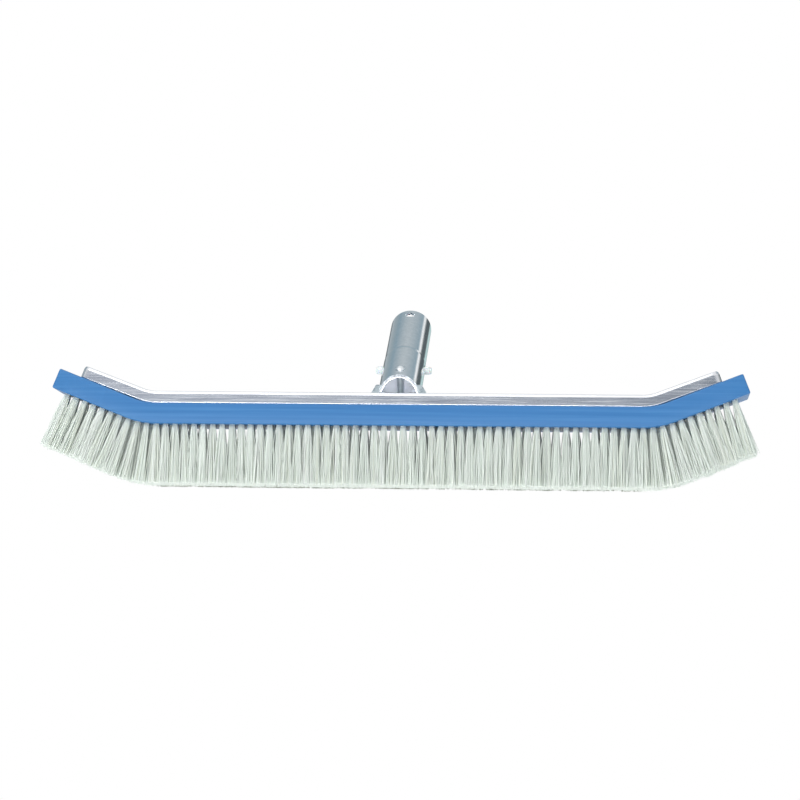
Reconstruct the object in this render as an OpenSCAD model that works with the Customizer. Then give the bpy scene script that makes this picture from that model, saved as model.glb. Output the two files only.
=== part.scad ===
// Pool wall brush, 18 inch class: curved block, tray-shaped aluminium back and pole handle.
// +X runs along the brush, +Y to the back, where the handle points, and +Z up from the tips.
// The origin is the centre of the flat plane of bristle tips.

/* [Brush block] */
// Depth of the block, front to back
block_depth = 38; // [36:0.5:44]
// Thickness of the block
block_thick = 13.6; // [12.5:0.1:18]
// Length of each flat half, from the middle to where the ends start to curve up
straight_half = 158.5; // [158.5:1:238.5]
// Length of each flat end wing
block_wing = 52.1; // [51:0.1:60]
// Angle by which the end wings of the block turn up
block_bend = 21.4; // [15:0.1:22]

/* [Bristles] */
// Length of the nylon from the block to the trimmed tips
bristle_len = 39; // [25:1:60]
// Distance between tufts along the front row
tuft_pitch = 6.25; // [6:0.05:6.25]
// Number of tufts in the first, third and fifth rows
tuft_columns = 72; // [60:2:72]
// Distance between tufts in the second and fourth rows
inner_pitch = 6.62; // [6.25:0.01:6.65]
// Number of tufts in the second and fourth rows
inner_columns = 68; // [60:2:68]
// Share by which each row's tufts are further apart than those of the row in front
row_fan = 0.0035; // [0:0.0005:0.0035]
// Sideways shift of each row from the row in front
row_shift = 0.45; // [0:0.05:0.45]
// Distance between rows
row_pitch = 7; // [6.5:0.1:7.2]
// Diameter of each drilled tuft hole
tuft_hole_d = 4.2; // [3.5:0.1:4.4]
// Depth of each tuft hole
tuft_hole_depth = 7.5; // [6:0.5:7.5]

/* [Aluminium back] */
// Width of the tray, front to back
tray_width = 34; // [33:0.5:36]
// Height of the tray's rim above the block
tray_height = 8; // [7:0.1:9]
// Thickness of the tray's floor
tray_floor = 1.6; // [1.2:0.1:1.8]
// Thickness of the tray's rim
tray_wall = 1.8; // [1.4:0.1:2]
// Angle by which the ends of the tray turn up
tray_bend = 20.6; // [14:0.1:21]
// Length of each flat end wing of the tray
tray_wing = 41.8; // [40:0.1:46]

/* [Handle] */
// Rise of the handle above the plane of the block
handle_rise = 30; // [28:1:32]
// Outer diameter of the tube beside the block
tube_d = 28; // [27.6:0.1:28.4]
// Outer diameter of the free end, where the pole slides on
seat_d = 27.6; // [27:0.1:27.6]
// Wall thickness of the tube
tube_wall = 1.8; // [1.6:0.1:2]
// Length of the tube's axis, from the mouth to the free end
tube_len = 120; // [115:1:180]
// Diameter of the hanging hole near the free end
hang_hole_d = 6.8; // [5:0.1:8]

/* [V-clip] */
// Distance of the buttons from the mouth, along the tube
button_at = 47; // [46:1:50]
// Diameter of each button
button_d = 5.4; // [4.6:0.1:5.6]
// Width across both buttons, when they stand out
button_span = 37; // [35:0.1:37.4]
// Diameter of the holes that the buttons come through
clip_hole_d = 7.2; // [7.2:0.1:8]

/* [Hidden] */
$fn = 64;
eps = 0.01;

// Levels
block_z = bristle_len;
tray_z = block_z + block_thick;
floor_z = tray_z + tray_floor;

// Curves of the block and the tray, both measured to the face between them
block_top_r = 45;
tray_under_r = 36.3;
block_r = block_top_r + block_thick;
bend_steps = 12;

// Round corners of the tray's ends, seen from above
tray_plan_r = 5;

// Tufts
rows = 5;
row_width = 5.4;
tuft_d = 4;
root_gap = 1;
staple_wire = 0.5;
staple_width = 3;
staple_height = 0.6;

// Screws that hold the tray and the bracket
screw_d = 3.6;
screw_head_d = 7;
screw_head_h = 2.2;
pilot_gap = 0.05;
pilot_end = 0.5;
// The screws stop above the bottoms of the tuft holes
screw_bite = block_thick + tray_floor - tuft_hole_depth - pilot_end - 0.4;
screw_y = 3.5;
flat_screw_x = [56.2, 118.8];
wing_screw_x = 22.5;

// Bracket
bracket_half = 31.5;
bracket_depth = 29.6;
bracket_base = 3.2;
cheek_foot = 20;
cheek_top = 15;
cheek_rise = 8.6;
bracket_screw_x = 25;
bracket_screw_y = 10.5;
seat_z = floor_z + bracket_base;

// Tube, with its own length along local Z and its upper side along local -Y
mouth_y = -14;
mouth_z = tray_z + 4.2;
tube_r = tube_d / 2;
seat_r = seat_d / 2;
bore_r = tube_r - tube_wall;
swage_start = button_at + 7;
swage_end = swage_start + 3;
end_bevel = 0.5;
hang_hole_at = tube_len - 8;
rivet_at = 18;
rivet_d = 4.8;
rivet_head_d = 6.6;
rivet_head_h = 2;
fit_gap = 0.05;
// Cuts that clear everything in their way
far = 400;

// Clip
clip_thick = 1.6;
clip_width = 8;
clip_tip_at = button_at - 5;
hinge_at = 96;
hinge_x = 7.4;
leg_x = 10.4;
leg_gap = 0.05;
leg_bead_d = clip_thick + 0.3;

function is_inner(row) = row % 2 == 0;
function columns(row) = is_inner(row) ? inner_columns : tuft_columns;
// Distance between the tufts of a row
function pitch(row) = (is_inner(row) ? inner_pitch : tuft_pitch) * (1 + row_fan * (row - 1));
// Place of a row's tuft, numbered from the middle: distance along the underside of the block
function tuft_s(row, k) = (k + 0.5) * pitch(row) - row_shift * (row - 1);
// Length of the curved stretch of the underside
curve_len = block_r * block_bend * PI / 180;
function is_flat(s) = s <= straight_half;
function is_curve(s) = s > straight_half && s < straight_half + curve_len;

// Puts children at distance s along the block's underside, upright on it, for s > 0
module on_underside(s) {
    if (is_flat(s)) {
        translate([s, 0, block_z]) children();
    } else {
        turn = is_curve(s) ? (s - straight_half) / curve_len * block_bend : block_bend;
        past = is_curve(s) ? 0 : s - straight_half - curve_len;
        translate([straight_half, 0, tray_z + block_top_r])
            rotate([0, -turn, 0])
            translate([past, 0, -block_r])
            children();
    }
}

module both_ends() {
    children();
    mirror([1, 0, 0]) children();
}

// The right half of a line in X and Z that lies lift above the level of a bent bar: it starts
// at straight_half, curves up round a point radius above the level and runs on along the wing.
function bent_line(radius, angle, wing, lift) =
    let (
        r = radius - lift,
        curve = [
            for (i = [0 : bend_steps])
                let (turn = angle * i / bend_steps)
                [straight_half + r * sin(turn), radius - r * cos(turn)]
        ],
        end = curve[bend_steps] + wing * [cos(angle), sin(angle)]
    )
    concat(curve, [end]);
function back(points) = [for (i = [len(points) - 1 : -1 : 0]) points[i]];
function left(points) = [for (p = points) [-p[0], p[1]]];

// A bar along X with up-turned ends, between two heights from the level z
module bent_bar(z, radius, angle, wing, low, high, width) {
    under = bent_line(radius, angle, wing, low);
    over = bent_line(radius, angle, wing, high);
    translate([0, width / 2, z])
        rotate([90, 0, 0])
        linear_extrude(width)
        polygon(concat(back(left(under)), under, back(over), left(over)));
}

// Puts children at the start of the tray's right wing, with X along it and Z = 0 below it
module on_tray_wing() {
    translate([straight_half, 0, tray_z + tray_under_r])
        rotate([0, -tray_bend, 0])
        translate([0, 0, -tray_under_r])
        children();
}

// Places the tube's own frame: origin at the centre of the mouth, Z along the axis
module on_tube() {
    translate([0, mouth_y, mouth_z]) rotate([handle_rise - 90, 0, 0]) children();
}

// ---- Brush block ----

// Places children at each tuft of one row
module at_tufts(row) {
    y = (row - (rows + 1) / 2) * row_pitch;
    half = columns(row) / 2;
    for (k = [-half : half - 1]) {
        s = tuft_s(row, k);
        mirror([s < 0 ? 1 : 0, 0, 0])
            on_underside(abs(s)) translate([0, y, 0]) children();
    }
}

module brush_block() {
    color("royalblue")
    difference() {
        bent_bar(tray_z, block_top_r, block_bend, block_wing, -block_thick, 0, block_depth);
        for (row = [1 : rows])
            at_tufts(row)
                translate([0, 0, -eps])
                cylinder(h = tuft_hole_depth + eps, d = tuft_hole_d, $fn = 24);
        at_back_screws() screw_pilot(screw_bite);
        at_bracket_screws() screw_pilot(screw_bite);
    }
}

// ---- Bristles: one row is its tufts, packed into a slab, with their roots in the holes ----

module bristle_row(row) {
    y = (row - (rows + 1) / 2) * row_pitch;
    color("honeydew") {
        translate([0, y, 0])
            bent_bar(tray_z, block_top_r, block_bend, block_wing - 3,
                -block_thick - bristle_len, -block_thick, row_width);
        at_tufts(row)
            translate([0, 0, -eps])
            cylinder(h = tuft_hole_depth - root_gap + eps, d = tuft_d, $fn = 24);
    }
}

module bristle_row_1() { bristle_row(1); }
module bristle_row_2() { bristle_row(2); }
module bristle_row_3() { bristle_row(3); }
module bristle_row_4() { bristle_row(4); }
module bristle_row_5() { bristle_row(5); }

// One flat wire anchor at the bottom of each tuft hole, over which its tuft is folded
module tuft_staples() {
    color("silver")
    for (row = [1 : rows])
        at_tufts(row)
            translate([0, 0, tuft_hole_depth - root_gap / 2])
            cube([staple_wire, staple_width, staple_height], center = true);
}

// ---- Aluminium back ----

// Takes the square corners off the ends of a bar of this wing length and width
module end_corners(wing, width, corner) {
    both_ends()
        on_tray_wing()
        for (side = [-1, 1])
            difference() {
                translate([wing, side * width / 2, 0])
                    cube([2 * corner, 2 * corner, 4 * tray_height], center = true);
                translate([wing - corner, side * (width / 2 - corner), 0])
                    cylinder(h = 5 * tray_height, r = corner, center = true);
            }
}

module tray_outside() {
    difference() {
        bent_bar(tray_z, tray_under_r, tray_bend, tray_wing, 0, tray_height, tray_width);
        end_corners(tray_wing, tray_width, tray_plan_r);
    }
}

module tray_inside() {
    wing = tray_wing - tray_wall;
    width = tray_width - 2 * tray_wall;
    difference() {
        bent_bar(tray_z, tray_under_r, tray_bend, wing, tray_floor, tray_height + 1, width);
        end_corners(wing, width, tray_plan_r - tray_wall);
    }
}

module back_tray() {
    color("silver")
    difference() {
        tray_outside();
        tray_inside();
        at_back_screws() screw_pilot(tray_floor + 2);
        at_bracket_screws() screw_pilot(bracket_base + tray_floor + 2);
        // Notch in the rear rim where the tube passes over it
        intersection() {
            on_tube() cylinder(h = far, r = tube_r + 0.5);
            translate([-far, tray_width / 2 - tray_wall - 1.2, floor_z + eps])
                cube([2 * far, far, far]);
        }
    }
}

// ---- Screws ----

// Round-headed screw, its head's underside at Z = 0 and its shank along -Z
module screw(length) {
    slot_w = 1.1;
    slot_depth = 1.1;
    translate([0, 0, -length]) cylinder(h = length, d = screw_d);
    difference() {
        intersection() {
            cylinder(h = screw_head_h, d = screw_head_d);
            translate([0, 0, screw_head_h - screw_head_d * 0.85])
                sphere(d = screw_head_d * 1.7);
        }
        for (turn = [0, 90])
            rotate(turn)
            translate([-2, -slot_w / 2, screw_head_h - slot_depth])
            cube([4, slot_w, slot_depth + 1]);
    }
}

module screw_pilot(depth) {
    translate([0, 0, -depth - pilot_end])
        cylinder(h = depth + 2 * pilot_end, d = screw_d + 2 * pilot_gap);
}

module at_back_screws() {
    both_ends() {
        translate([flat_screw_x[0], screw_y, floor_z]) children();
        translate([flat_screw_x[1], -screw_y, floor_z]) children();
        on_tray_wing() translate([wing_screw_x, screw_y, tray_floor]) children();
    }
}

module at_bracket_screws() {
    for (side = [-1, 1])
        for (y = [-1, 1])
            translate([side * bracket_screw_x, y * bracket_screw_y, floor_z])
            children();
}

module back_screws() {
    color("gainsboro") at_back_screws() screw(screw_bite);
}

module bracket_screws() {
    color("gainsboro")
    at_bracket_screws()
        translate([0, 0, bracket_base]) screw(screw_bite + bracket_base);
}

// ---- Handle bracket ----

module bracket_solid() {
    translate([-bracket_half, -bracket_depth / 2, floor_z])
        cube([2 * bracket_half, bracket_depth, bracket_base]);
    translate([0, bracket_depth / 2, seat_z])
        rotate([90, 0, 0])
        linear_extrude(bracket_depth)
        polygon([
            [-cheek_foot, -eps], [cheek_foot, -eps],
            [cheek_top, cheek_rise], [-cheek_top, cheek_rise]
        ]);
}

module handle_bracket() {
    color("lightsteelblue")
    difference() {
        bracket_solid();
        intersection() {
            on_tube() translate([0, 0, -far / 2]) cylinder(h = far, r = tube_r + fit_gap);
            translate([-far, -far, seat_z]) cube([2 * far, 2 * far, far]);
        }
        on_tube()
            translate([0, 0, rivet_at])
            rotate([-90, 0, 0])
            cylinder(h = far / 4, d = rivet_d + 2 * fit_gap);
        at_bracket_screws() translate([0, 0, bracket_base]) screw_pilot(bracket_base + 1);
    }
}

// ---- Handle tube ----

module tube_outside() {
    translate([0, 0, -far / 8]) cylinder(h = swage_start + far / 8, r = tube_r);
    translate([0, 0, swage_start])
        cylinder(h = swage_end - swage_start, r1 = tube_r, r2 = seat_r);
    translate([0, 0, swage_end])
        cylinder(h = tube_len - end_bevel - swage_end, r = seat_r);
    translate([0, 0, tube_len - end_bevel])
        cylinder(h = end_bevel, r1 = seat_r, r2 = seat_r - end_bevel);
}

module handle_tube() {
    color("slategray")
    difference() {
        on_tube()
            difference() {
                tube_outside();
                translate([0, 0, -far / 4]) cylinder(h = far, r = bore_r);
                translate([-far / 2, 0, button_at])
                    rotate([0, 90, 0])
                    cylinder(h = far, d = clip_hole_d);
                translate([0, 0, hang_hole_at])
                    rotate([90, 0, 0])
                    cylinder(h = tube_d, d = hang_hole_d);
                translate([0, 0, rivet_at])
                    rotate([90, 0, 0])
                    cylinder(h = tube_d, d = rivet_d + 2 * fit_gap);
            }
        translate([-far / 2, mouth_y - far, -far / 2]) cube([far, far, far]);
        translate([-far / 2, -far / 2, seat_z - far]) cube([far, far, far]);
    }
}

// Rivet from the top of the tube, across its bore, into the base of the bracket
module tube_rivet() {
    head_r = rivet_head_d / 2;
    color("lightgray")
    difference() {
        on_tube()
            translate([0, 0, rivet_at])
            rotate([90, 0, 0]) {
                translate([0, 0, -far / 8]) cylinder(h = tube_r + far / 8, d = rivet_d);
                intersection() {
                    translate([0, 0, tube_r]) cylinder(h = rivet_head_h, d = rivet_head_d);
                    translate([0, 0, tube_r + rivet_head_h - head_r * 1.3])
                        sphere(r = head_r * 1.3);
                }
            }
        translate([-far / 2, -far / 2, floor_z + 0.4 - far]) cube([far, far, far]);
    }
}

// ---- V-clip: a nylon spring with a round bend and two legs, each with a button ----

module clip_bend() {
    arm = hinge_at + leg_bead_d / 2 + leg_gap;
    mean_r = hinge_x;
    color("whitesmoke")
    on_tube()
        translate([0, 0, arm])
        rotate([-90, 0, 0])
        translate([0, 0, -clip_width / 2])
        difference() {
            cylinder(h = clip_width, r = mean_r + clip_thick / 2);
            translate([0, 0, -eps])
                cylinder(h = clip_width + 2 * eps, r = mean_r - clip_thick / 2);
            translate([-far / 2, 0, -eps]) cube([far, far, clip_width + 2 * eps]);
        }
}

// A round button standing on Z = 0, with a bevelled tip
module clip_button(height) {
    r = button_d / 2;
    bevel = r / 2;
    rotate_extrude()
        polygon([[0, 0], [r, 0], [r, height - bevel], [0.72 * r, height], [0, height]]);
}

// The right leg. It turns inwards round its bead, which is the hinge beside the bend.
module clip_leg() {
    splay = atan((leg_x - hinge_x) / (hinge_at - button_at));
    on_tube() {
        translate([hinge_x, clip_width / 2, hinge_at])
            rotate([90, 0, 0])
            cylinder(h = clip_width, d = leg_bead_d);
        translate([hinge_x, -clip_width / 2, hinge_at])
            rotate([0, -splay, 0])
            translate([-clip_thick / 2, 0, clip_tip_at - hinge_at])
            cube([clip_thick, clip_width, hinge_at - clip_tip_at]);
        translate([leg_x, 0, button_at])
            rotate([0, 90, 0])
            clip_button(button_span / 2 - leg_x);
    }
}

module clip_leg_right() {
    color("ghostwhite") clip_leg();
}

module clip_leg_left() {
    color("ghostwhite") mirror([1, 0, 0]) clip_leg();
}

brush_block();
back_tray();
back_screws();
handle_bracket();
bracket_screws();
handle_tube();
tube_rivet();
clip_bend();
clip_leg_left();
clip_leg_right();
bristle_row_1();
bristle_row_2();
bristle_row_3();
bristle_row_4();
bristle_row_5();
tuft_staples();
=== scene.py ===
"""Looks of the pool wall brush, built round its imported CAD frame. All lengths are in metres."""
import math

import bpy
import numpy as np
from mathutils import Matrix, Vector


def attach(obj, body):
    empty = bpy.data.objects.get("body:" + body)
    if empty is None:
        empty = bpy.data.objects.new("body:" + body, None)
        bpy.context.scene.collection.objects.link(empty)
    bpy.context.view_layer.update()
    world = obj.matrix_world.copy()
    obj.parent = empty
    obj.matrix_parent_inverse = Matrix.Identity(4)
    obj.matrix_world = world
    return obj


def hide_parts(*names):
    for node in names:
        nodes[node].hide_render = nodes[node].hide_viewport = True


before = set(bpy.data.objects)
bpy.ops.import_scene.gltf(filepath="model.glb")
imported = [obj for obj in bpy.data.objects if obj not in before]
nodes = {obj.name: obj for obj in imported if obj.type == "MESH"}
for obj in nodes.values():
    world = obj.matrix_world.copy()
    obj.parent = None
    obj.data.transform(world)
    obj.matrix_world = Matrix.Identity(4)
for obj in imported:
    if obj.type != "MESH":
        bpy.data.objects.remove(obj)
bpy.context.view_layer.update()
MM = 0.001

# Sizes that the CAD part is built on
BLOCK_THICK = 13.6 * MM
BLOCK_HALF_DEPTH = 19 * MM
STRAIGHT_HALF = 158.5 * MM
BLOCK_WING = 52.1 * MM
BLOCK_BEND = math.radians(21.4)
BLOCK_TOP_R = 45 * MM
BRISTLE_LEN = 39 * MM
TRAY_Z = BRISTLE_LEN + BLOCK_THICK
TRAY_HALF_WIDTH = 17 * MM
TRAY_HEIGHT = 8 * MM
TRAY_FLOOR = 1.6 * MM
TRAY_WALL = 1.8 * MM
TRAY_BEND = math.radians(20.6)
TRAY_UNDER_R = 36.3 * MM
TRAY_WING = 41.8 * MM
TRAY_PLAN_R = 5 * MM
TUFT_PITCH = 6.25 * MM
TUFT_COLUMNS = 72
INNER_PITCH = 6.62 * MM
INNER_COLUMNS = 68
ROW_FAN = 0.0035
ROW_SHIFT = 0.45 * MM
ROW_PITCH = 7 * MM
ROWS = 5
MOUTH = Vector((0, -14 * MM, 56.8 * MM))
TUBE_RISE = math.radians(30)
TUBE_AXIS = Vector((0, math.cos(TUBE_RISE), math.sin(TUBE_RISE)))
TUBE_R = 14 * MM


# ---- Materials ----

NOISE_ROUGHNESS = 0.6
BUMP_DISTANCE = 0.1 * MM
METAL_BUMP = 0.05
EVEN = (1, 1, 1)
# Nearer than this to its axis, the tube has the finish of its bore
BORE_FINISH_R = 12.32 * MM
# Sockets of a Mix node set to colours
MIX_SHARE, MIX_FIRST, MIX_SECOND, MIX_RESULT = 0, 6, 7, 2


def new_material(name):
    """A node material with its Principled shader."""
    m = bpy.data.materials.new(name)
    m.use_nodes = True
    return m, m.node_tree, m.node_tree.nodes["Principled BSDF"]


def stretched_noise(tree, scale, stretch, detail=4.0, turn=(0, 0, 0)):
    """Noise in object space whose grain is longest along the axis with the smallest stretch."""
    place = tree.nodes.new("ShaderNodeTexCoord")
    mapping = tree.nodes.new("ShaderNodeMapping")
    mapping.inputs["Rotation"].default_value = turn
    mapping.inputs["Scale"].default_value = stretch
    noise = tree.nodes.new("ShaderNodeTexNoise")
    noise.inputs["Scale"].default_value = scale
    noise.inputs["Detail"].default_value = detail
    noise.inputs["Roughness"].default_value = NOISE_ROUGHNESS
    tree.links.new(place.outputs["Object"], mapping.inputs["Vector"])
    tree.links.new(mapping.outputs["Vector"], noise.inputs["Vector"])
    return noise.outputs["Fac"]


def ramp(tree, source, stops):
    """A colour ramp on a value: stops are (position, colour)."""
    r = tree.nodes.new("ShaderNodeValToRGB")
    while len(r.color_ramp.elements) < len(stops):
        r.color_ramp.elements.new(0.5)
    for e, (position, colour) in zip(r.color_ramp.elements, stops):
        e.position = position
        e.color = (*colour, 1)
    tree.links.new(source, r.inputs["Fac"])
    return r.outputs["Color"]


def mixed(tree, share, first, second):
    """From the first colour to the second as the share goes from 0 to 1."""
    mix = tree.nodes.new("ShaderNodeMix")
    mix.data_type = "RGBA"
    tree.links.new(share, mix.inputs[MIX_SHARE])
    tree.links.new(first, mix.inputs[MIX_FIRST])
    if isinstance(second, tuple):
        mix.inputs[MIX_SECOND].default_value = (*second, 1)
    else:
        tree.links.new(second, mix.inputs[MIX_SECOND])
    return mix.outputs[MIX_RESULT]


def grey(v):
    return (v, v, v)


def bump(tree, shader, source, strength):
    b = tree.nodes.new("ShaderNodeBump")
    b.inputs["Strength"].default_value = strength
    b.inputs["Distance"].default_value = BUMP_DISTANCE
    tree.links.new(source, b.inputs["Height"])
    tree.links.new(b.outputs["Normal"], shader.inputs["Normal"])


def plastic_blue():
    """Moulded plastic with faint flow marks along X."""
    m, tree, shader = new_material("blue_plastic")
    flow = stretched_noise(tree, 60, (0.12, 3, 9))
    colour = ramp(tree, flow, [(0.3, (0.038, 0.175, 0.430)), (0.5, (0.044, 0.193, 0.455)),
                               (0.72, (0.064, 0.225, 0.490))])
    tree.links.new(colour, shader.inputs["Base Color"])
    fine = stretched_noise(tree, 900, (0.4, 1, 1.6), detail=3)
    rough = ramp(tree, fine, [(0.3, grey(0.33)), (0.7, grey(0.45))])
    tree.links.new(rough, shader.inputs["Roughness"])
    shader.inputs["Specular IOR Level"].default_value = 0.4
    bump(tree, shader, fine, 0.15)
    return m


def bare_metal(name, colours, roughness, stretch=EVEN, scale=400, turn=(0, 0, 0)):
    """Metal with a fine grain. Colours and roughness are (low, high)."""
    m, tree, shader = new_material(name)
    shader.inputs["Metallic"].default_value = 1
    grain = stretched_noise(tree, scale, stretch, detail=5, turn=turn)
    streaks = stretched_noise(tree, scale / 3, stretch, detail=3, turn=turn)
    colour = ramp(tree, streaks, [(0.3, colours[0]), (0.7, colours[1])])
    tree.links.new(colour, shader.inputs["Base Color"])
    rough = ramp(tree, grain, [(0.3, grey(roughness[0])), (0.7, grey(roughness[1]))])
    tree.links.new(rough, shader.inputs["Roughness"])
    bump(tree, shader, grain, METAL_BUMP)
    return m


def inside_tube(tree):
    """1 within the radius of the bore finish round the tube's axis, else 0."""
    place = tree.nodes.new("ShaderNodeTexCoord")
    from_mouth = tree.nodes.new("ShaderNodeVectorMath")
    from_mouth.operation = "SUBTRACT"
    from_mouth.inputs[1].default_value = MOUTH
    tree.links.new(place.outputs["Object"], from_mouth.inputs[0])
    across = tree.nodes.new("ShaderNodeVectorMath")
    across.operation = "CROSS_PRODUCT"
    across.inputs[1].default_value = TUBE_AXIS
    tree.links.new(from_mouth.outputs["Vector"], across.inputs[0])
    radius = tree.nodes.new("ShaderNodeVectorMath")
    radius.operation = "LENGTH"
    tree.links.new(across.outputs["Vector"], radius.inputs[0])
    inside = tree.nodes.new("ShaderNodeMath")
    inside.operation = "LESS_THAN"
    inside.inputs[1].default_value = BORE_FINISH_R
    tree.links.new(radius.outputs["Value"], inside.inputs[0])
    return inside.outputs["Value"]


def tube_metal():
    """Polished outside, and a paler, duller finish on the inside of the bore."""
    m = bare_metal("tube_aluminium", ((0.80, 0.84, 0.86), (0.90, 0.93, 0.95)), (0.10, 0.17),
                   stretch=(3, 3, 0.12), turn=(math.pi / 2 - TUBE_RISE, 0, 0))
    tree, shader = m.node_tree, m.node_tree.nodes["Principled BSDF"]
    inside = inside_tube(tree)
    for name, bore in (("Base Color", (0.93, 0.95, 1.0)), ("Roughness", grey(0.5))):
        socket = shader.inputs[name]
        outside = socket.links[0].from_socket
        tree.links.new(mixed(tree, inside, outside, bore), socket)
    metallic = tree.nodes.new("ShaderNodeMix")
    metallic.data_type = "FLOAT"
    metallic.inputs["A"].default_value = 1.0
    metallic.inputs["B"].default_value = 0.25
    tree.links.new(inside, metallic.inputs["Factor"])
    tree.links.new(metallic.outputs["Result"], shader.inputs["Metallic"])
    return m


def nylon_clip():
    """White nylon, a little translucent."""
    m, tree, shader = new_material("white_nylon")
    cloud = stretched_noise(tree, 300, EVEN, detail=3)
    colour = ramp(tree, cloud, [(0.3, (0.80, 0.88, 0.88)), (0.7, (0.88, 0.94, 0.93))])
    tree.links.new(colour, shader.inputs["Base Color"])
    shader.inputs["Roughness"].default_value = 0.4
    shader.inputs["Subsurface Weight"].default_value = 0.15
    shader.inputs["Subsurface Scale"].default_value = 0.003
    bump(tree, shader, cloud, 0.15)
    return m


def filament(name, colour, roughness):
    """Off-white nylon that scatters light just under its surface."""
    m, tree, shader = new_material(name)
    shader.inputs["Base Color"].default_value = (*colour, 1)
    shader.inputs["Roughness"].default_value = roughness
    shader.inputs["Specular IOR Level"].default_value = 0.4
    shader.inputs["Subsurface Weight"].default_value = 0.5
    shader.inputs["Subsurface Scale"].default_value = 0.0005
    shader.inputs["Subsurface Radius"].default_value = (1, 1, 1)
    return m


BLUE = plastic_blue()
ALU = bare_metal("drawn_aluminium", ((0.78, 0.80, 0.84), (0.88, 0.90, 0.93)), (0.18, 0.30),
                 stretch=(0.06, 3, 3))
ALU_TUBE = tube_metal()
ALU_CAST = bare_metal("bracket_aluminium", ((0.48, 0.55, 0.57), (0.60, 0.67, 0.69)), (0.25, 0.4),
                      scale=500)
STEEL = bare_metal("screw_steel", (grey(0.62), (0.75, 0.75, 0.76)), (0.2, 0.4), scale=600)
WIRE = bare_metal("staple_wire", ((0.45, 0.45, 0.46), (0.6, 0.6, 0.61)), (0.3, 0.5), scale=900)
RIVET = bare_metal("rivet_aluminium", ((0.66, 0.71, 0.74), (0.80, 0.84, 0.87)), (0.32, 0.45),
                   scale=500)
NYLON = nylon_clip()
FILAMENTS = [
    filament("filament_clear", (0.87, 0.95, 0.865), 0.42),
    filament("filament_grey", (0.85, 0.93, 0.85), 0.45),
    filament("filament_warm", (0.87, 0.93, 0.82), 0.44),
    filament("filament_pale", (0.91, 0.97, 0.90), 0.40),
]
# Painted shade: a dark colour for the filament tips, for the dark line along the tips
FILAMENT_END_PAINTED_SHADE = filament("filament_end_painted_shade", (0.28, 0.31, 0.25), 0.7)

for name, material in {
    "brush_block": BLUE, "back_tray": ALU, "back_screws": STEEL, "handle_bracket": ALU_CAST,
    "bracket_screws": STEEL, "handle_tube": ALU_TUBE, "tube_rivet": RIVET, "clip_bend": NYLON,
    "clip_leg_left": NYLON, "clip_leg_right": NYLON, "tuft_staples": WIRE,
}.items():
    o = nodes[name]
    o.data.materials.clear()
    o.data.materials.append(material)


# ---- Bent pieces: meshes are laid out flat, then follow the up-turned ends ----

BEVEL_ANGLE = math.radians(35)
SMOOTH_ANGLE = math.radians(50)


def bevel(name, width, segments=2):
    """Breaks the sharp edges of a CAD piece."""
    m = nodes[name].modifiers.new("bevel", "BEVEL")
    m.width = width
    m.segments = segments
    m.limit_method = "ANGLE"
    m.angle_limit = BEVEL_ANGLE
    m.use_clamp_overlap = True
    m.harden_normals = False


def bent(points, under_radius, angle, low):
    """Points (s, y, height) above the level low, with the ends of the bar turned up from there."""
    s, y, h = points[:, 0], points[:, 1], points[:, 2]
    side, s = np.sign(s), np.abs(s)
    turn = np.clip((s - STRAIGHT_HALF) / under_radius, 0, angle)
    flat = np.minimum(s, STRAIGHT_HALF)
    past = np.maximum(s - STRAIGHT_HALF - under_radius * angle, 0)
    r = under_radius - h
    x = flat + r * np.sin(turn) + past * np.cos(turn)
    z = low + under_radius - r * np.cos(turn) + past * np.sin(turn)
    return np.stack([side * x, y, z], 1)


def mesh_object(name, points, faces, material, body, stands_for):
    """A smooth-shaded piece on a body, in place of a CAD node."""
    mesh = bpy.data.meshes.new(name)
    mesh.from_pydata(points.tolist(), [], faces)
    mesh.validate()
    mesh.update()
    mesh.materials.append(material)
    mesh.shade_smooth()
    mesh.set_sharp_from_angle(angle=SMOOTH_ANGLE)
    o = bpy.data.objects.new(name, mesh)
    bpy.context.scene.collection.objects.link(o)
    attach(o, body)
    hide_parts(stands_for)


def stations(half, curve, extra=()):
    """Places along the bar: dense round the bends."""
    right = sorted({0, *np.linspace(0, STRAIGHT_HALF, 30),
                    *np.linspace(STRAIGHT_HALF, STRAIGHT_HALF + curve, 15),
                    *np.linspace(STRAIGHT_HALF + curve, half, 5)[1:], *extra})
    return [-s for s in right[:0:-1]] + right


def arc(centre, radius, start, end, steps):
    """Points of an arc in a plane, with angles in degrees."""
    return [(centre[0] + radius * math.cos(math.radians(a)),
             centre[1] + radius * math.sin(math.radians(a)))
            for a in np.linspace(start, end, steps)]


def band(faces, first, second, n):
    """Adds the quads between two closed loops of n points."""
    for i in range(n):
        j = (i + 1) % n
        faces.append((first + i, first + j, second + j, second + i))


def tray_wall():
    """Wall section as (distance in from the outside, height), from the underside to the floor."""
    rim_in, rim_down = 1.3 * MM, 2.5 * MM
    lip, foot, inner_foot = 0.45 * MM, 0.5 * MM, 1.4 * MM
    under_inset, guard = 2.6 * MM, 0.15 * MM
    wall = [(under_inset, 0.0)]
    wall += arc((foot, foot), foot, 270, 180, 4)
    # Two loops close to the ends of the upright face keep its shading flat
    wall += [(0.0, foot + guard), (0.0, TRAY_HEIGHT - rim_down - guard)]
    wall += [(rim_in * (1 + u), TRAY_HEIGHT - rim_down * (1 - v))
             for u, v in arc((0, 0), 1, 180, 90, 10)]
    wall += arc((TRAY_WALL - lip, TRAY_HEIGHT - lip), lip, 90, 0, 5)
    wall += arc((TRAY_WALL + inner_foot, TRAY_FLOOR + inner_foot), inner_foot, 180, 270, 5)
    return wall


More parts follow.
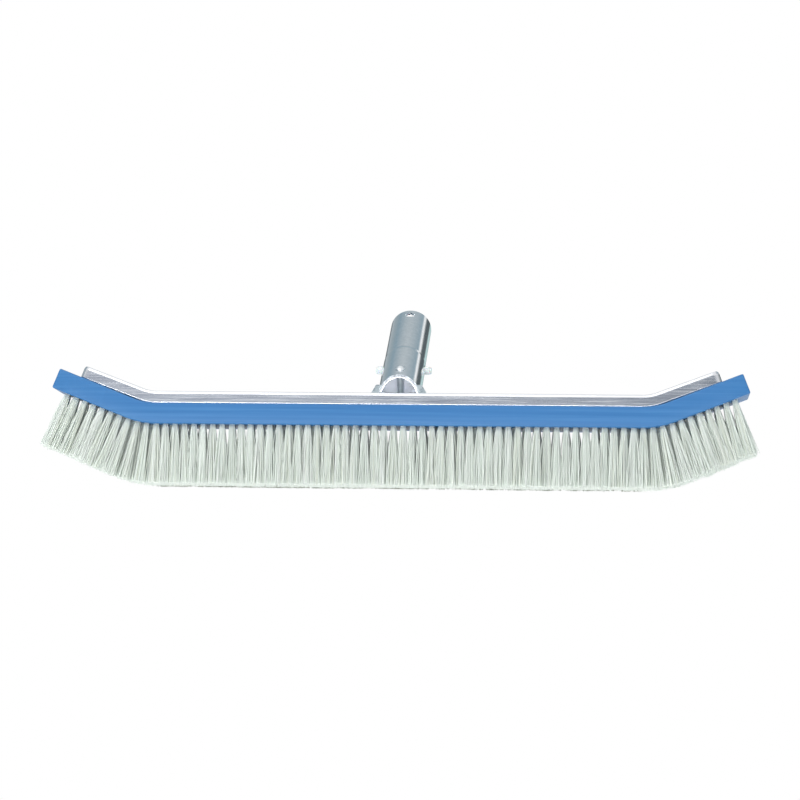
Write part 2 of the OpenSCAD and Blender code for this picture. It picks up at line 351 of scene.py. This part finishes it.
def tray():
    """Pressed pan: its wall section is carried round a rounded rectangle."""
    curve = TRAY_UNDER_R * TRAY_BEND
    half = STRAIGHT_HALF + curve + TRAY_WING
    corner_steps, end_steps, least_corner_r = 7, 5, 0.4 * MM
    # The stations at the middle serve the notch for the tube
    run = stations(half - TRAY_PLAN_R, curve, extra=np.arange(1, 12) * MM)
    loops = []
    for inset, height in tray_wall():
        r = max(TRAY_PLAN_R - inset, least_corner_r)
        y = TRAY_HALF_WIDTH - inset
        end = half - inset
        across = np.linspace(-y + r, y - r, end_steps)[1:-1]
        across_back = np.linspace(y - r, -y + r, end_steps)[1:-1]
        along = [min(max(s, -end + r), end - r) for s in run]
        line = [(s, -y) for s in along]
        line += arc((end - r, -y + r), r, 270, 360, corner_steps)[1:]
        line += [(end, v) for v in across]
        line += arc((end - r, y - r), r, 0, 90, corner_steps)
        line += [(s, y) for s in along[::-1]][1:]
        line += arc((-end + r, y - r), r, 90, 180, corner_steps)[1:]
        line += [(-end, v) for v in across_back]
        line += arc((-end + r, -y + r), r, 180, 270, corner_steps)[:-1]
        loops.append([(a, b, height) for a, b in line])
    n, m = len(loops[0]), len(run)
    faces = []
    for k in range(len(loops) - 1):
        band(faces, k * n, (k + 1) * n, n)
    # The underside and the floor: quads across the pan, and one face at each rounded end
    corner = (corner_steps - 1) + (end_steps - 2) + corner_steps
    rear_end = 2 * m + corner - 2
    for k, flip in ((0, False), (len(loops) - 1, True)):
        base = k * n
        front = [base + i for i in range(m)]
        rear = [base + rear_end - i for i in range(m)]
        quads = [(front[i], front[i + 1], rear[i + 1], rear[i]) for i in range(m - 1)]
        caps = [[base + m - 1 + i for i in range(corner + 1)],
                [base + (rear_end + i) % n for i in range(n - rear_end + 1)]]
        for f in quads + caps:
            faces.append(tuple(f) if flip else tuple(f[::-1]))
    points = np.array([p for loop in loops for p in loop])
    points = notched(bent(points, TRAY_UNDER_R, TRAY_BEND, TRAY_Z))
    mesh_object("tray_pan", points, faces, ALU, "brush", "back_tray")


def notched(points):
    """The tray's points, with the rear rim cut down where the tube passes over it."""
    rear_wall_y, tube_gap, floor_gap = 13.5 * MM, 0.5 * MM, 0.3 * MM
    x, y, z = points.T
    axis_z = MOUTH.z + (y - MOUTH.y) * math.tan(TUBE_RISE)
    reach = np.sqrt(np.maximum((TUBE_R + tube_gap) ** 2 - x ** 2, 0))
    low = np.maximum(axis_z - reach / math.cos(TUBE_RISE), TRAY_Z + TRAY_FLOOR + floor_gap)
    cut = (y > rear_wall_y) & (np.abs(x) < TUBE_R) & (z > low)
    points[cut, 2] = low[cut]
    return points


def block():
    """The moulded bar with its edges rounded."""
    radius = BLOCK_TOP_R + BLOCK_THICK
    curve = radius * BLOCK_BEND
    half = STRAIGHT_HALF + curve + BLOCK_WING
    edge, edge_steps, end_rings = 1.0 * MM, 5, 4
    # Keeps a little radius at the corners of the end faces
    end_share = 0.98
    inner_y = BLOCK_HALF_DEPTH - edge
    corners = ((-inner_y, edge, 180), (inner_y, edge, 270),
               (inner_y, BLOCK_THICK - edge, 0), (-inner_y, BLOCK_THICK - edge, 90))

    def ring(s, inset):
        r = edge - inset
        points = []
        for y, h, start in corners:
            points += arc((y, h), r, start, start + 90, edge_steps)
        return [(s, y, h) for y, h in points]

    ends = [(half - edge * (1 - math.sin(a)), edge * (1 - math.cos(a)) * end_share)
            for a in np.linspace(0, math.pi / 2, end_rings)]
    rings = [ring(-s, i) for s, i in ends[::-1]]
    rings += [ring(s, 0) for s in stations(half - edge, curve)[1:-1]]
    rings += [ring(s, i) for s, i in ends]
    n = len(rings[0])
    faces = []
    for k in range(len(rings) - 1):
        for i in range(n):
            j = (i + 1) % n
            faces.append((k * n + i, (k + 1) * n + i, (k + 1) * n + j, k * n + j))
    last = (len(rings) - 1) * n
    faces.append(tuple(range(n)))
    faces.append(tuple(last + i for i in range(n))[::-1])
    points = bent(np.array([p for r in rings for p in r]), radius, BLOCK_BEND, BRISTLE_LEN)
    mesh_object("block_bar", points, faces, BLUE, "brush", "brush_block")


tray()
block()
bevel("handle_bracket", 0.6 * MM, 3)
bevel("tube_rivet", 0.3 * MM)
bevel("back_screws", 0.15 * MM)
bevel("bracket_screws", 0.15 * MM)
bevel("clip_leg_left", 0.3 * MM)
bevel("clip_leg_right", 0.3 * MM)


# ---- Bristles ----

SEED = 20240611
PER_TUFT = 58
SIDES = 4
# Rings of a filament as shares of its length: it starts inside the block
RING_SHARES = np.array([-0.04, 0.10, 0.35, 0.68, 0.982, 1.0])
FILAMENT_R = 0.25 * MM
ROOT_R = 1.47 * MM
GOLDEN_TURN = 2.39996
# How much wider the tips spread than the roots: mean and deviation
TIP_SPREAD, TIP_SPREAD_DEV = 2.4, 0.6
TIP_STRAY = 0.9 * MM
TIP_LIMIT_Y = 3.45 * MM
SPREAD_POWER = 0.66
BOW = 0.3 * MM
TUFT_LEAN = np.array([0.55 * MM, 0.5 * MM])
TUFT_TRIM_DEV = 0.3 * MM
LENGTH_MEAN, LENGTH_DEV = -0.2 * MM, 0.5 * MM
SHORT_SHARE, SHORT_LEAST, SHORT_MOST = 0.03, 0.5, 1.8
TIP_CLEARANCE = 0.02 * MM
# Towards the ends of the wings the tufts are trimmed shorter, and lean inwards at the +X end
WING_REACH = 60 * MM
WING_TRIM = 2.2 * MM
RIGHT_END_LEAN = 3.2 * MM
# How often each filament material comes up in a tuft
SHADE_WEIGHTS = [5.0, 1.8, 1.2, 2.2]
# Slot of the painted shade on the tips
PAINTED_SHADE_END_SLOT = len(FILAMENTS)


def is_inner(row):
    return row % 2 == 0


def tuft_places(row):
    """Distances of the row's tufts from the middle, along the underside of the block."""
    columns = INNER_COLUMNS if is_inner(row) else TUFT_COLUMNS
    pitch = (INNER_PITCH if is_inner(row) else TUFT_PITCH) * (1 + ROW_FAN * (row - 1))
    return [(k + 0.5) * pitch - ROW_SHIFT * (row - 1) for k in range(-columns // 2, columns // 2)]


def on_underside(s):
    """Point on the underside at distance s from the middle, and the turn of the surface there."""
    side, s = (-1 if s < 0 else 1), abs(s)
    radius = BLOCK_TOP_R + BLOCK_THICK
    curve = radius * BLOCK_BEND
    if s <= STRAIGHT_HALF:
        x, z, turn = s, BRISTLE_LEN, 0.0
    else:
        turn = min((s - STRAIGHT_HALF) / radius, BLOCK_BEND)
        past = max(s - STRAIGHT_HALF - curve, 0)
        x = STRAIGHT_HALF + radius * math.sin(turn) + past * math.cos(turn)
        z = TRAY_Z + BLOCK_TOP_R - radius * math.cos(turn) + past * math.sin(turn)
    return side * x, z, side * turn


def row_filaments(row, rng):
    """Ring centres, direction along the bar, radius, slot and tip slot of each filament."""
    y0 = (row - (ROWS + 1) / 2) * ROW_PITCH
    grown = np.clip(RING_SHARES, 0, 1)[:, None]
    centres, alongs, radii, slots, end_slots = [], [], [], [], []
    for s in tuft_places(row):
        x, z, turn = on_underside(s)
        down = np.array([math.sin(turn), 0, -math.cos(turn)])
        along = np.array([math.cos(turn), 0, math.sin(turn)])
        wing_share = min(max((abs(s) - STRAIGHT_HALF) / WING_REACH, 0), 1)
        lean = rng.normal(0, 1, 2) * TUFT_LEAN
        if s > 0:
            lean[0] -= RIGHT_END_LEAN * wing_share
        trim = rng.normal(0, TUFT_TRIM_DEV) - wing_share * WING_TRIM
        shade = rng.dirichlet(SHADE_WEIGHTS)
        for i in range(PER_TUFT):
            share = math.sqrt((i + 0.5) / PER_TUFT)
            turn_i = i * GOLDEN_TURN + rng.uniform(-0.3, 0.3)
            start = np.array([math.cos(turn_i), math.sin(turn_i)]) * share * ROOT_R
            end = start * rng.normal(TIP_SPREAD, TIP_SPREAD_DEV) + lean
            end = end + rng.normal(0, 1, 2) * TIP_STRAY
            end[1] = min(max(end[1], -TIP_LIMIT_Y), TIP_LIMIT_Y)
            bow = rng.normal(0, 1, 2) * BOW
            length = BRISTLE_LEN + trim + rng.normal(LENGTH_MEAN, LENGTH_DEV)
            if rng.random() < SHORT_SHARE:
                length -= rng.uniform(SHORT_LEAST, SHORT_MOST) * MM
            length = min(length, BRISTLE_LEN - TIP_CLEARANCE)
            shift = start + (end - start) * grown ** SPREAD_POWER + bow * np.sin(np.pi * grown)
            centres.append(np.array([x, y0, z]) + np.outer(RING_SHARES * length, down)
                           + np.outer(shift[:, 0], along) + np.outer(shift[:, 1], (0, 1, 0)))
            alongs.append(along)
            radii.append(FILAMENT_R * rng.uniform(0.88, 1.08))
            slots.append(rng.choice(len(FILAMENTS), p=shade))
            # Painted shade: dark tips on the rear row of the straight part, for the dark line along
            # the tips
            dark = row == ROWS and abs(s) < STRAIGHT_HALF
            end_slots.append(PAINTED_SHADE_END_SLOT if dark else slots[-1])
    return np.array(centres), np.array(alongs), np.array(radii), slots, end_slots


def bristle_row(row, rng):
    """One row of tufts of filaments. Each tuft is a bundle that opens a little towards its tips."""
    centres, alongs, radii, slots, end_slots = row_filaments(row, rng)
    steps = len(RING_SHARES) - 1
    n, per = len(centres), SIDES * (steps + 1)
    angles = (np.arange(SIDES) + 0.5) * 2 * math.pi / SIDES
    ring = np.stack([np.cos(angles), np.sin(angles)], 1)
    around = ring[None, :, :1] * alongs[:, None, :] + ring[None, :, 1:] * np.array([0, 1.0, 0])
    co = centres[:, :, None, :] + radii[:, None, None, None] * around[:, None, :, :]
    quads = []
    for k in range(steps):
        for a in range(SIDES):
            b = (a + 1) % SIDES
            quads.append([(k + 1) * SIDES + a, (k + 1) * SIDES + b, k * SIDES + b, k * SIDES + a])
    first = (np.arange(n) * per)[:, None]
    all_quads = (np.array(quads)[None] + first[:, None]).reshape(-1, 4)
    tips = np.arange(SIDES)[::-1][None] + first + steps * SIDES
    roots = np.arange(SIDES)[None] + first
    loops = np.concatenate([all_quads.ravel(), tips.ravel(), roots.ravel()])
    sizes = np.concatenate([np.full(len(all_quads), 4), np.full(2 * n, SIDES)])
    starts = np.concatenate([[0], np.cumsum(sizes)[:-1]])
    side_slots = np.repeat(np.array(slots)[:, None], len(quads), 1)
    # The last short band of each filament takes its tip slot, which carries the painted shade on
    # the dark tips
    side_slots[:, -SIDES:] = np.array(end_slots)[:, None]
    slot = np.concatenate([side_slots.ravel(), end_slots, slots])
    smooth = np.concatenate([np.ones(len(all_quads), bool), np.zeros(2 * n, bool)])
    mesh = bpy.data.meshes.new(f"tufts_{row}")
    mesh.vertices.add(n * per)
    mesh.vertices.foreach_set("co", co.astype(np.float32).ravel())
    mesh.loops.add(len(loops))
    mesh.loops.foreach_set("vertex_index", loops.astype(np.int32))
    mesh.polygons.add(len(sizes))
    mesh.polygons.foreach_set("loop_start", starts.astype(np.int32))
    mesh.polygons.foreach_set("loop_total", sizes.astype(np.int32))
    mesh.polygons.foreach_set("material_index", slot.astype(np.int32))
    mesh.polygons.foreach_set("use_smooth", smooth)
    mesh.update(calc_edges=True)
    mesh.validate()
    for m in FILAMENTS + [FILAMENT_END_PAINTED_SHADE]:
        mesh.materials.append(m)
    o = bpy.data.objects.new(f"tufts_{row}", mesh)
    bpy.context.scene.collection.objects.link(o)
    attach(o, "brush")
    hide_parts(f"bristle_row_{row}")


rng = np.random.default_rng(SEED)
for row in range(1, ROWS + 1):
    bristle_row(row, rng)


# ---- Studio ----

FLOOR_HALF, FLOOR_Z = 12.0, -0.62
FLOOR_GLOW = 0.28
BRUSH_MIDDLE = (0, 0, 0.05)
# Power in watts
KEY_POWER, FRONT_POWER, BORE_POWER = 6, 15.5, 16
BORE_LIGHT_OFFSET = Vector((0, -0.483, -0.13))


def floor():
    """A plain white floor that glows a little, so that it reads as a white background."""
    corners = [(-1, -1), (1, -1), (1, 1), (-1, 1)]
    mesh = bpy.data.meshes.new("floor")
    mesh.from_pydata([(a * FLOOR_HALF, b * FLOOR_HALF, FLOOR_Z) for a, b in corners],
                     [], [(0, 1, 2, 3)])
    o = bpy.data.objects.new("floor", mesh)
    m, tree, shader = new_material("floor_white")
    shader.inputs["Base Color"].default_value = (0.93, 0.93, 0.93, 1)
    shader.inputs["Roughness"].default_value = 0.9
    shader.inputs["Emission Color"].default_value = (1, 1, 1, 1)
    shader.inputs["Emission Strength"].default_value = FLOOR_GLOW
    mesh.materials.append(m)
    bpy.context.scene.collection.objects.link(o)


def sky():
    """White to the camera. To the pieces, bands by height that differ front, rear, left, right."""
    world = bpy.data.worlds.new("studio")
    bpy.context.scene.world = world
    world.use_nodes = True
    tree = world.node_tree
    place = tree.nodes.new("ShaderNodeTexCoord")
    split = tree.nodes.new("ShaderNodeSeparateXYZ")
    tree.links.new(place.outputs["Generated"], split.inputs["Vector"])

    def spread(axis, low, high):
        """0 to 1 as that part of the direction goes from low to high."""
        r = tree.nodes.new("ShaderNodeMapRange")
        r.inputs["From Min"].default_value = low
        r.inputs["From Max"].default_value = high
        tree.links.new(split.outputs[axis], r.inputs["Value"])
        return r.outputs["Result"]

    def by_height(stops):
        """Colours by the height of the direction, from 0 level to 1 straight up."""
        return ramp(tree, spread("Z", 0, 1), stops)

    teal, dark, mid = (0.50, 0.66, 0.66), (0.10, 0.12, 0.13), (0.26, 0.35, 0.41)
    below = (0.62, 0.64, 0.66)
    rear_top = [(0.80, (0.45, 0.5, 0.53)), (0.90, grey(0.9)), (1.0, grey(1.1))]
    front_top = [(0.28, (0.45, 0.48, 0.52)), (0.42, grey(0.86)), (1.0, grey(1.0))]
    rear_right = by_height([(0.0, teal), (0.20, teal), (0.24, dark), (0.41, dark),
                            (0.47, grey(0.95)), (0.525, grey(0.95)), (0.56, mid)] + rear_top)
    rear_left = by_height([(0.0, (0.30, 0.36, 0.38)), (0.11, (0.16, 0.18, 0.19)),
                           (0.20, (0.14, 0.16, 0.17)), (0.26, (0.42, 0.47, 0.50)),
                           (0.40, (0.33, 0.39, 0.42)), (0.60, mid)] + rear_top)
    front_left = by_height([(0.0, (0.28, 0.31, 0.37)), (0.20, (0.26, 0.29, 0.36))] + front_top)
    front_right = by_height([(0.0, (0.07, 0.10, 0.14)), (0.20, (0.07, 0.10, 0.14))] + front_top)
    rear = mixed(tree, spread("X", -0.04, 0.12), rear_left, rear_right)
    front = mixed(tree, spread("X", -0.14, 0.04), front_left, front_right)
    upper = mixed(tree, spread("Y", -0.15, 0.02), front, rear)
    colour = mixed(tree, spread("Z", 0.0, -0.12), upper, below)

    back = tree.nodes["Background"]
    tree.links.new(colour, back.inputs["Color"])
    white = tree.nodes.new("ShaderNodeBackground")
    white.inputs["Color"].default_value = (1, 1, 1, 1)
    mix = tree.nodes.new("ShaderNodeMixShader")
    path = tree.nodes.new("ShaderNodeLightPath")
    tree.links.new(path.outputs["Is Camera Ray"], mix.inputs["Fac"])
    tree.links.new(back.outputs["Background"], mix.inputs[1])
    tree.links.new(white.outputs["Background"], mix.inputs[2])
    tree.links.new(mix.outputs["Shader"], tree.nodes["World Output"].inputs["Surface"])


def area_light(name, place, target, size, power):
    """A rectangular light at a place, aimed at a target, that the camera doesn't see."""
    data = bpy.data.lights.new(name, "AREA")
    data.shape = "RECTANGLE"
    data.size, data.size_y = size
    data.energy = power
    o = bpy.data.objects.new(name, data)
    o.location = place
    o.rotation_mode = "QUATERNION"
    o.rotation_quaternion = (Vector(target) - Vector(place)).to_track_quat("-Z", "Y")
    o.visible_camera = False
    bpy.context.scene.collection.objects.link(o)
    return o


def lights():
    """Key and front light for the whole brush, and one that lights only the tube, for its bore."""
    area_light("key", (-0.5, -1.6, 1.3), BRUSH_MIDDLE, (1.2, 1.0), KEY_POWER)
    area_light("front", (-0.3, -2.0, -0.5), BRUSH_MIDDLE, (1.2, 0.4), FRONT_POWER)
    bore = area_light("bore", MOUTH + BORE_LIGHT_OFFSET, MOUTH, (0.22, 0.22), BORE_POWER)
    lit = bpy.data.collections.new("bore_lit")
    lit.objects.link(nodes["handle_tube"])
    bore.light_linking.receiver_collection = lit


floor()
sky()
lights()
bpy.context.scene.view_settings.view_transform = "Standard"


# ---- Camera ----

CAMERA_AZIMUTH = math.radians(4.29)
CAMERA_ELEVATION = math.radians(-6.212)
CAMERA_ROLL = math.radians(0.951)
CAMERA_DISTANCE = 2.0
CAMERA_AIM = Vector((-0.248 * MM, 0, 57.633 * MM))
# In millimetres, as a camera states them
LENS, SENSOR_WIDTH = 136.84095, 36


def camera():
    """Telephoto view from the front, a little below the brush and towards +X."""
    ahead = Vector((-math.sin(CAMERA_AZIMUTH) * math.cos(CAMERA_ELEVATION),
                    math.cos(CAMERA_AZIMUTH) * math.cos(CAMERA_ELEVATION),
                    -math.sin(CAMERA_ELEVATION)))
    data = bpy.data.cameras.new("camera")
    data.sensor_width = SENSOR_WIDTH
    data.lens = LENS
    data.clip_start, data.clip_end = 0.05, 60
    o = bpy.data.objects.new("camera", data)
    bpy.context.scene.collection.objects.link(o)
    o.location = CAMERA_AIM - ahead * CAMERA_DISTANCE
    o.rotation_mode = "QUATERNION"
    turn = ahead.to_track_quat("-Z", "Y")
    o.rotation_quaternion = turn @ Matrix.Rotation(CAMERA_ROLL, 4, "Z").to_quaternion()
    bpy.context.scene.camera = o


camera()
